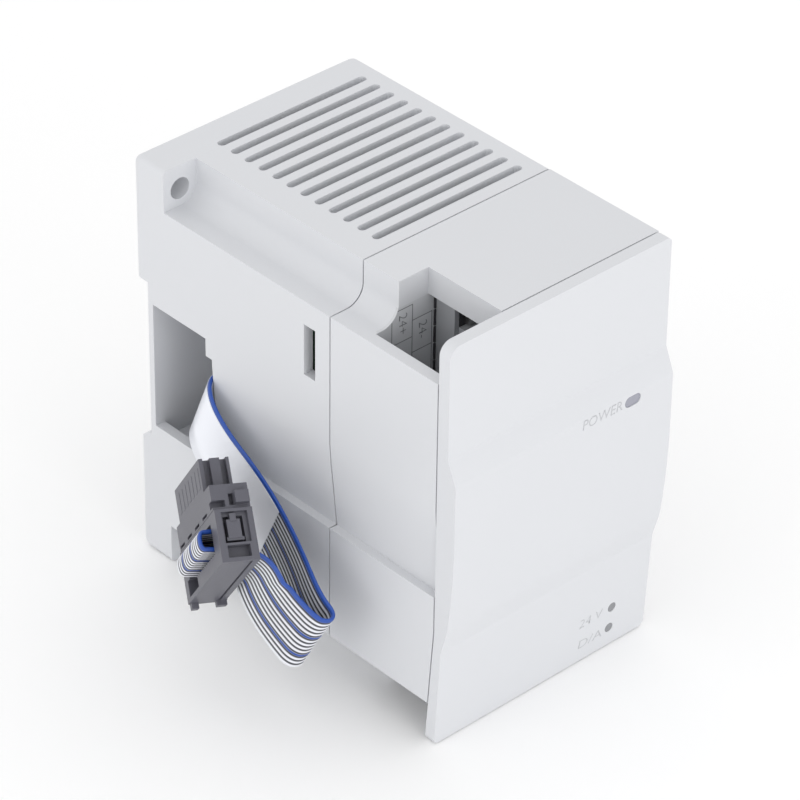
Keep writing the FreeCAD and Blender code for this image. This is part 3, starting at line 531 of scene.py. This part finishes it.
@dataclass
class Case:
    """Moulded shells, their printed marks, the terminal plate's cells and painted shadows in the bay.
    """

    edge: float = 0.25
    capital_share: float = 0.7
    slant: float = 0.12
    ink: float = 0.03
    cell_line: float = 0.16
    cell_columns: tuple = (6.35, 11.35, 16.15)
    cell_top: float = 83.7
    cells_end: float = 10.0
    pitch: float = 7.0
    terminals: int = 11
    first_terminal: float = 11.2
    pocket_half: float = 2.85

    def build(self) -> None:
        """Make the shells, marks and cells."""
        for node in ("rear_case", "front_case", "front_cover"):
            piece = rounded_copy(node, self.edge)
            dress(piece, Shade.CASE.material())
        self.mark("POWER", (31.5, -2.115, 58.95), 2.1, 0.0, 10.1)
        slope = math.radians(3.3)
        self.mark("24 V", (36.8, 1.71, 8.3), 2.0, slope, 6.2)
        self.mark("D/A", (36.8, 2.005, 3.2), 1.95, slope, 6.2)
        self.cells()

    def mark(self, text: str, place: tuple, height: float, slope: float, width: float) -> None:
        """Print one word on the cover.

        Args:
            text: the word.
            place: lower left corner as distances from the left, the front and the base, in millimetres.
            height: letter height in millimetres.
            slope: forward lean of the surface, in radians.
            width: length of the word in millimetres.
        """
        size = height * MM / self.capital_share
        piece = letters(text, size, -0.02 * height * MM, self.slant, 4)
        piece.name = "mark_" + "".join(c for c in text.lower() if c.isalnum())
        piece.scale.x = width * MM / piece.dimensions.x
        piece.rotation_euler = (math.pi / 2 + slope, 0, 0)
        piece.location = spot(*place)
        freeze(piece)
        apply_modifier(piece, "SOLIDIFY", thickness=self.ink * MM, offset=0.0)
        dress(piece, Shade.MARK.material())
        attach(piece, "cover")

    def cells(self) -> None:
        """Draw the staggered cells and their signs on the marking plate."""
        lines = []
        left, middle, right = self.cell_columns
        stagger = self.pitch / 2
        clear_of_duct = 1.45
        for step in range(self.terminals - 1):
            top = self.cell_top - step * self.pitch
            start = left + (clear_of_duct if step == 0 else 0.0)
            lines.append(self.line((start, top), (middle, top)))
            lines.append(self.line((middle, top - stagger), (right, top - stagger)))
        tops = (self.cell_top - 1.9, self.cell_top, self.cell_top - stagger)
        for side, top in zip(self.cell_columns, tops):
            lines.append(self.line((side, self.cells_end), (side, top)))
        grid = merge(lines, "plate_cells")
        dress(grid, Shade.CELL.material())
        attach(grid, "module")
        # Painted shadow pieces in the plate's gap and on the terminal pocket floors.
        self.shadows()
        for text, place in (("24+", (8.1, 82.7)), ("24-", (13.0, 79.1))):
            self.cell_text(text, place)

    def shadows(self) -> None:
        """Add dark pieces as painted shadow: dashes in the gap beside the plate and pads on the floors
        of the terminal pockets.
        """
        parts = []
        dash = 3.4
        for step in range(5):
            top = 83.9 - step * (dash + 0.3)
            low = spot(16.6, 21.6, top - dash) / MM
            high = spot(17.05, 21.95, top) / MM
            parts.append(block("gap", tuple(low), tuple(high)))
        for step in range(self.terminals):
            level = self.first_terminal + step * self.pitch
            low = spot(18.1, 16.65, level - self.pocket_half) / MM
            high = spot(31.9, 16.85, level + self.pocket_half) / MM
            parts.append(block("gap", tuple(low), tuple(high)))
        dark = merge(parts, "bay_shadows")
        # These pieces are painted shadow, not real parts.
        dress(dark, Shade.DARK.material())
        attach(dark, "module")

    def line(self, start: tuple, end: tuple) -> bpy.types.Object:
        """Add one thin printed line between two points of the plate (left, height)."""
        half = self.cell_line / 2
        low = spot(start[0] - half, 21.87, min(start[1], end[1]) - half) / MM
        high = spot(end[0] + half, 21.97, max(start[1], end[1]) + half) / MM
        return block("plate_line", tuple(low), tuple(high))

    def cell_text(self, text: str, place: tuple) -> None:
        """Print one sign that reads downwards in a cell.

        Args:
            text: the sign.
            place: start of its line (left, height), in millimetres.
        """
        piece = letters(text, 2.9 * MM, -0.05 * MM, 0.0, 3)
        piece.name = "cell_" + ("plus" if "+" in text else "minus")
        piece.rotation_euler = (math.pi / 2, math.pi / 2, 0)
        piece.location = spot(place[0], 21.88, place[1])
        freeze(piece)
        apply_modifier(piece, "SOLIDIFY", thickness=self.ink * MM, offset=0.0)
        dress(piece, Shade.CELL.material())
        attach(piece, "module")


# ---------------------------------------------------------------- ribbon


@dataclass
class Ribbon:
    """Flat 14-way ribbon that leaves the pocket, folds once and loops through its plug.

    Each route row holds the distance out from the case, the distance along towards the
    front, both in metres from the exit, and the direction across the ribbon.
    """

    plug: "Plug"
    conductors: int = 14
    pitch: float = 1.27
    half_ridge: float = 0.40
    half_valley: float = 0.17
    steps: int = 6
    wrapped: tuple = ((-0.006, -0.0028), (0.0044, 0.0274))
    exit: Vector = field(default_factory=lambda: spot(-0.1, 67.4, 41.4))
    far: Vector = field(default_factory=lambda: Vector((0.06, 0.45, -0.89)).normalized())
    along: Vector = field(default_factory=lambda: Vector((0, -0.892, -0.451)))
    route: tuple = (
        (-0.0130, -0.0027, (0.06, 0.45, -0.89)),
        (-0.0049, -0.0025, (0.06, 0.45, -0.89)),
        (0.0000, -0.0017, (0.067, 0.404, -0.912)),
        (0.0029, 0.0063, (0.092, 0.397, -0.913)),
        (0.0031, 0.0218, (0.083, 0.396, -0.914)),
        (0.0057, 0.0349, (0.059, 0.403, -0.913)),
        (0.0095, 0.0453, (-0.006, 0.453, -0.891)),
        (0.0098, 0.0505, (-0.048, 0.483, -0.874)),
        (0.0133, 0.0496, (-0.062, 0.481, -0.875)),
        (0.0138, 0.0441, (-0.016, 0.480, -0.877)),
        (0.0136, 0.0387, (-0.007, 0.503, -0.864)),
    )
    plug_route: tuple = (
        (0.0094, 0.0075), (0.0040, 0.0063), (-0.0003, 0.0058), (-0.0020, 0.0057),
        (-0.0020, 0.0025), (-0.0003, 0.00245), (0.0069, 0.0024),
    )

    def points(self) -> list:
        """Control points of the route and the direction across at each one.

        Returns:
            Pairs of a place in the row frame and a unit vector.
        """
        outward = self.far.cross(self.along)
        rows = []
        for away, run, across in self.route:
            place = self.exit + outward * away + self.along * run
            rows.append((place, Vector(across).normalized()))
        turn = self.plug.matrix()
        half = self.plug.length / 2 * MM
        for thick, high in self.plug_route:
            rows.append((turn @ Vector((thick, high, half)), self.plug.length_axis))
        return rows

    def smooth(self, places: list) -> list:
        """Smooth line of a spline with the given control points.

        Args:
            places: control points in the row frame.

        Returns:
            Points along the spline, close together.
        """
        curve = bpy.data.curves.new("ribbon_route", "CURVE")
        curve.dimensions = "3D"
        curve.resolution_u = 12
        spline = curve.splines.new("NURBS")
        spline.points.add(len(places) - 1)
        for point, place in zip(spline.points, places):
            point.co = (*place, 1.0)
        spline.order_u = 3
        spline.use_endpoint_u = True
        holder = bpy.data.objects.new("ribbon_route", curve)
        bpy.context.scene.collection.objects.link(holder)
        bpy.context.view_layer.update()
        shape = bpy.data.meshes.new_from_object(holder)
        line = [vertex.co.copy() for vertex in shape.vertices]
        bpy.data.objects.remove(holder)
        return line

    def centreline(self) -> list:
        """Smooth line that the ribbon's middle follows."""
        return self.smooth([place for place, _ in self.points()])

    def side_line(self) -> list:
        """Smooth line one centimetre to the ribbon's far side, for its twist."""
        return self.smooth([place + across * 0.01 for place, across in self.points()])

    def frames(self, line: list) -> list:
        """Place, width direction and face direction at each point of the line."""
        result = []
        for number, (place, beside) in enumerate(zip(line, self.side_line())):
            across = beside - place
            ahead = line[min(number + 1, len(line) - 1)] - line[max(number - 1, 0)]
            ahead.normalize()
            side = (across - ahead * across.dot(ahead)).normalized()
            result.append((place, side, ahead.cross(side)))
        return result

    def section(self) -> list:
        """Outline across the ribbon as (place across, height, conductor count) points."""
        upper = []
        for conductor in range(self.conductors):
            for step in range(self.steps):
                share = step / self.steps
                lift = math.sqrt(max(0.0, 1 - (2 * share - 1) ** 2))
                height = max(self.half_valley, self.half_ridge * lift)
                upper.append((conductor + share, height))
        upper.append((float(self.conductors), self.half_valley))
        middle = self.conductors / 2
        ring = [((place - middle) * self.pitch, high, place) for place, high in upper]
        ring += [((place - middle) * self.pitch, -high, place) for place, high in reversed(upper)]
        return ring

    def build(self) -> tuple:
        """Make the ribbon's mesh.

        Returns:
            The ribbon and the line that it follows.
        """
        line = self.centreline()
        ring = self.section()
        vertices = []
        faces = []
        for place, side, face in self.frames(line):
            for across, height, _ in ring:
                vertices.append(place + side * across * MM + face * height * MM)
        count = len(ring)
        for row in range(len(line) - 1):
            for column in range(count):
                after = (column + 1) % count
                first = row * count
                second = first + count
                faces.append((first + column, first + after, second + after, second + column))
        faces.append(tuple(reversed(range(count))))
        last = (len(line) - 1) * count
        faces.append(tuple(range(last, last + count)))
        mesh = bpy.data.meshes.new("ribbon")
        mesh.from_pydata(vertices, [], faces)
        layer = mesh.uv_layers.new(name="conductors")
        for loop in mesh.loops:
            layer.data[loop.index].uv = (
                min(ring[loop.vertex_index % count][2], self.conductors - 0.001),
                (loop.vertex_index // count) / len(line))
        ribbon = bpy.data.objects.new("ribbon", mesh)
        bpy.context.scene.collection.objects.link(ribbon)
        activate(ribbon)
        bpy.ops.object.mode_set(mode="EDIT")
        bpy.ops.mesh.select_all(action="SELECT")
        bpy.ops.mesh.normals_make_consistent(inside=False)
        bpy.ops.object.mode_set(mode="OBJECT")
        bpy.ops.object.shade_smooth_by_angle(angle=math.radians(60))
        dress(ribbon, Shade.RIBBON.material())
        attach(ribbon, "module")
        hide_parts("ribbon_cable")
        return ribbon, line

    def wrap(self, line: list) -> bpy.types.Object:
        """Make the thin film wound round the ribbon's first stretch.

        Args:
            line: the ribbon's centreline.

        Returns:
            The film, open at both ends with a thin wall.
        """
        frames = self.frames(line)
        ends = [self.exit + self.far.cross(self.along) * away + self.along * run
                for away, run in self.wrapped]
        start, end = (
            min(range(len(line)), key=lambda n: (line[n] - place).length) for place in ends)
        half = self.conductors * self.pitch / 2
        low, high = -half + 0.75, half + 0.5
        lift = self.half_ridge + 0.06
        outline = [
            (low, lift), (-4.0, lift), (0.0, lift), (4.0, lift), (high - 0.3, lift),
            (high, 0.15), (high, -0.15), (high - 0.3, -lift), (4.0, -lift), (0.0, -lift),
            (-4.0, -lift), (low, -lift),
        ]
        count = len(outline)
        vertices = []
        for place, side, face in frames[start:end + 1]:
            for across, height in outline:
                vertices.append(place + side * across * MM + face * height * MM)
        faces = []
        for row in range(end - start):
            for column in range(count - 1):
                first = row * count + column
                faces.append((first, first + 1, first + count + 1, first + count))
        mesh = bpy.data.meshes.new("ribbon_film")
        mesh.from_pydata(vertices, [], faces)
        film = bpy.data.objects.new("ribbon_film", mesh)
        bpy.context.scene.collection.objects.link(film)
        apply_modifier(film, "SOLIDIFY", thickness=0.08 * MM, offset=0.0)
        activate(film)
        bpy.ops.object.shade_smooth_by_angle(angle=math.radians(50))
        dress(film, Shade.WRAP.material())
        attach(film, "module")
        return film


# ---------------------------------------------------------------- plug

CONTACT_PITCH = 2.54


@dataclass
class Plug:
    """Ribbon plug: socket body, latch block and cover with its strain relief.

    Its own axes are across (thickness), height (from the mating face to the cable side)
    and length, in millimetres from one corner of the cover.
    """

    corner: Vector = field(default_factory=lambda: spot(-22.43, 37.9, 45.72))
    length_axis: Vector = field(
        default_factory=lambda: Vector((0.1893, 0.5902, -0.7848)).normalized())
    height_axis: Vector = field(default_factory=lambda: Vector((-0.3909, -0.6878, -0.6116)))
    thick: float = 7.2
    high: float = 10.1
    length: float = 28.0

    def matrix(self) -> Matrix:
        """Turn and place of the plug's own axes in the row frame."""
        along = self.length_axis
        up = (self.height_axis - along * self.height_axis.dot(along)).normalized()
        across = up.cross(along)
        turn = Matrix((across, up, along)).transposed().to_4x4()
        return Matrix.Translation(self.corner) @ turn

    def settle(self, piece: bpy.types.Object, node: str | None = None) -> bpy.types.Object:
        """Dress a finished plug piece and put it in its place.

        Args:
            piece: the piece, still in the plug's own axes.
            node: the CAD node that it stands for, if any.

        Returns:
            The same piece.
        """
        piece.data.transform(self.matrix())
        dress(piece, Shade.PLUG.material())
        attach(piece, "module")
        if node:
            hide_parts(node)
        return piece

    def build(self) -> list:
        """Make every piece of the plug and return them."""
        pieces = [self.cover(), self.latch_tab(), self.flange(), self.socket()]
        pieces.append(self.teeth())
        return pieces

    def cover(self) -> bpy.types.Object:
        """Cover and strain relief: a box opened on both long sides for the ribbon."""
        piece = block("plug_cover", (0, 0, 0), (self.thick, self.high, self.length))
        carve(piece, block("c", (-1, 1.6, 4.2), (3.6, 7.2, 24.0)))
        carve(piece, block("c", (-1, 6.2, 18.6), (3.2, 9.2, 25.6)))
        carve(piece, block("c", (4.0, 4.6, 4.2), (9, 9.3, 24.0)))
        carve(piece, block("c", (1.2, 0.6, -1), (6.1, 6.5, 1.0)))
        carve(piece, block("c", (1.6, 1.3, 0.5), (5.3, 6.2, 2.4)))
        carve(piece, block("c", (1.4, 7.0, -1), (5.7, 9.3, 1.8)))
        carve(piece, block("c", (5.5, 9.7, 0.8), (5.95, 11, 26.6)))
        weld(piece, block("w", (0.3, 9.6, 26.6), (1.7, 11.3, 28.0)))
        weld(piece, block("w", (5.2, 9.6, 26.6), (7.2, 11.1, 28.0)))
        soften(piece, 0.12)
        return self.settle(piece, "connector_cover")

    def latch_tab(self) -> bpy.types.Object:
        """Stepped tab in the window of the cover's near end."""
        piece = block("plug_latch", (2.0, 2.0, 0.3), (4.6, 5.6, 2.6))
        weld(piece, block("w", (2.7, 0.9, 0.1), (3.9, 2.4, 2.2)))
        weld(piece, block("w", (1.7, 5.3, 0.45), (5.0, 6.0, 2.4)))
        soften(piece, 0.1)
        return self.settle(piece)

    def flange(self) -> bpy.types.Object:
        """Wide foot of the socket with the small snap block at its near end."""
        piece = block("plug_flange", (0, -4.9, 0.8), (self.thick, -0.05, self.length - 0.8))
        carve(piece, block("c", (-1, -1.9, -1), (2.5, -0.6, 2.6)))
        carve(piece, block("c", (3.3, -3.0, -1), (4.4, -0.8, 2.2)))
        for start in (5.4, 11.5, 17.6, 23.4):
            carve(piece, block("c", (-1, -0.95, start), (0.8, -0.4, start + 3.3)))
        weld(piece, block("w", (4.2, -3.2, -0.6), (6.9, -0.9, 1.6)))
        soften(piece, 0.12)
        return self.settle(piece, "connector_flange")

    def socket(self) -> bpy.types.Object:
        """Socket body with contact bores, end grooves and faint side ribs."""
        piece = block("plug_socket", (0, -11.3, 5.0), (5.8, -4.8, 24.4))
        carve(piece, block("c", (0.75, -12, 4.0), (2.1, -4.0, 6.3)))
        carve(piece, block("c", (4.0, -12, 4.0), (5.2, -4.0, 6.3)))
        for number in range(7):
            middle = 14.7 + (number - 3) * CONTACT_PITCH
            for side in (1.63, 4.17):
                hole = block("c", (side - 0.4, -12, middle - 0.4), (side + 0.4, -9.0, middle + 0.4))
                carve(piece, hole)
            rib = block("w", (-0.05, -10.0, middle - 0.7), (0.1, -6.0, middle + 0.7))
            weld(piece, rib)
        soften(piece, 0.12)
        return self.settle(piece, "connector_body")

    def teeth(self) -> bpy.types.Object:
        """Row of small comb teeth between the socket and the ribbon."""
        parts = []
        for number in range(14):
            middle = self.length / 2 + (number - 6.5) * CONTACT_PITCH / 2
            parts.append(block("tooth", (0.05, 0.75, middle - 0.36), (0.6, 1.25, middle + 0.36)))
        comb = merge(parts, "plug_comb")
        soften(comb, 0.05, 1)
        return self.settle(comb)


# ---------------------------------------------------------------- CAD nodes


@dataclass
class Inside:
    """Carried-over CAD nodes and the finish that each one gets."""

    finishes: dict = field(default_factory=lambda: {
        Shade.LENS: ("power_lens",),
        Shade.ROUND_LENS: ("supply_lens", "output_lens", "status_lamps"),
        Shade.STEEL: (
            "cover_hinge_pins", "rail_hook_springs", "terminal_clamps", "terminal_screws",
            "board_spacers", "board_screws", "case_screws"),
        Shade.TIN: ("terminal_tails", "crystal", "capacitors"),
        Shade.DARK: (
            "board_link_connectors", "display_link", "extension_header", "ribbon_header"),
        Shade.TERMINAL: ("terminal_strip",),
        Shade.FILM: ("marking_plate", "rating_label"),
        Shade.BOARD: ("terminal_board", "main_board", "power_board", "display_board"),
        Shade.CHIP: (
            "converter_chips", "isolator_chips", "processor_chip", "bus_chips",
            "power_transformer", "power_converter", "power_switch_chip"),
        Shade.FERRITE: ("power_inductor",),
        Shade.GOLD: ("extension_pins", "connector_contacts"),
    })

    def build(self) -> None:
        """Give every carried-over node its material."""
        for shade, nodes in self.finishes.items():
            for node in nodes:
                item = frame["nodes"][node]
                item.data.materials.clear()
                item.data.materials.append(shade.material())
        hook = rounded_copy("rail_hook", 0.2)
        dress(hook, Shade.DARK.material())


# ---------------------------------------------------------------- studio


@dataclass
class Studio:
    """White floor, soft lights and the camera."""

    azimuth: float = -42.985
    elevation: float = 34.982
    roll: float = 0.761
    distance: float = 0.8333
    lens: float = 198.345
    target: Vector = field(default_factory=lambda: Vector((0.0, -0.00055, 0.045)))
    side_shift: float = -0.0002
    height_shift: float = -0.0002

    def build(self) -> None:
        """Make the floor, the lights and the camera."""
        self.floor()
        self.world()
        self.camera()
        self.lamp("key", (-0.25, -1.15, 0.3), 0.6, 2.5)
        self.lamp("side", (-1.1, 0.1, 0.3), 0.6, 1.1)

    def floor(self) -> None:
        """Add the flat floor under the module."""
        deselect()
        bpy.ops.mesh.primitive_grid_add(x_subdivisions=8, y_subdivisions=8, size=8)
        piece = bpy.context.active_object
        piece.name = "studio_floor"
        piece.location.z = -0.0002
        freeze(piece)
        piece.data.materials.append(Shade.FLOOR.material())

    def world(self) -> None:
        """Light the whole room evenly."""
        world = bpy.data.worlds.new("studio")
        bpy.context.scene.world = world
        world.use_nodes = True
        back = world.node_tree.nodes["Background"]
        back.inputs["Color"].default_value = (1.0, 1.0, 1.0, 1.0)
        back.inputs["Strength"].default_value = 1.0

    def lamp(self, name: str, place: tuple, size: float, power: float) -> None:
        """Add one soft lamp aimed at the module.

        Args:
            name: the lamp's name.
            place: its place in metres.
            size: its side in metres.
            power: its power in watts.
        """
        deselect()
        bpy.ops.object.light_add(type="AREA", location=place)
        lamp = bpy.context.active_object
        lamp.name = f"lamp_{name}"
        lamp.data.size = size
        lamp.data.energy = power
        lamp.rotation_euler = (self.target - Vector(place)).to_track_quat("-Z", "Y").to_euler()

    def camera(self) -> None:
        """Add the camera at the module's three-quarter view."""
        turn = math.radians(self.azimuth)
        rise = math.radians(self.elevation)
        back = Vector((
            math.sin(turn) * math.cos(rise), -math.cos(turn) * math.cos(rise), math.sin(rise)))
        right = Vector((math.cos(turn), math.sin(turn), 0.0))
        up = back.cross(right)
        lean = math.radians(self.roll)
        side = right * math.cos(lean) + up * math.sin(lean)
        top = up * math.cos(lean) - right * math.sin(lean)
        place = self.target + back * self.distance
        place += side * self.side_shift + top * self.height_shift
        data = bpy.data.cameras.new("view")
        data.sensor_width = 36.0
        data.lens = self.lens
        camera = bpy.data.objects.new("view", data)
        bpy.context.scene.collection.objects.link(camera)
        turned = Matrix((side, top, back)).transposed().to_4x4()
        camera.matrix_world = Matrix.Translation(place) @ turned
        bpy.context.scene.camera = camera


def main() -> None:
    logging.basicConfig(level=logging.INFO, format="%(name)s: %(message)s")
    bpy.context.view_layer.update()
    Studio().build()
    log.info("studio ready")
    Inside().build()
    log.info("inner parts dressed")
    Case().build()
    log.info("case and marks")
    plug = Plug()
    ribbon = Ribbon(plug)
    strip, line = ribbon.build()
    film = ribbon.wrap(line)
    log.info("ribbon with %d stations", len(line))
    plug_pieces = plug.build()
    log.info("plug with %d pieces", len(plug_pieces))
    length = sum((b - a).length for a, b in zip(line, line[1:]))
    log.info("ribbon line %.4f m", length)
    bpy.context.scene.view_settings.view_transform = "Standard"


if __name__ == "__main__":
    main()
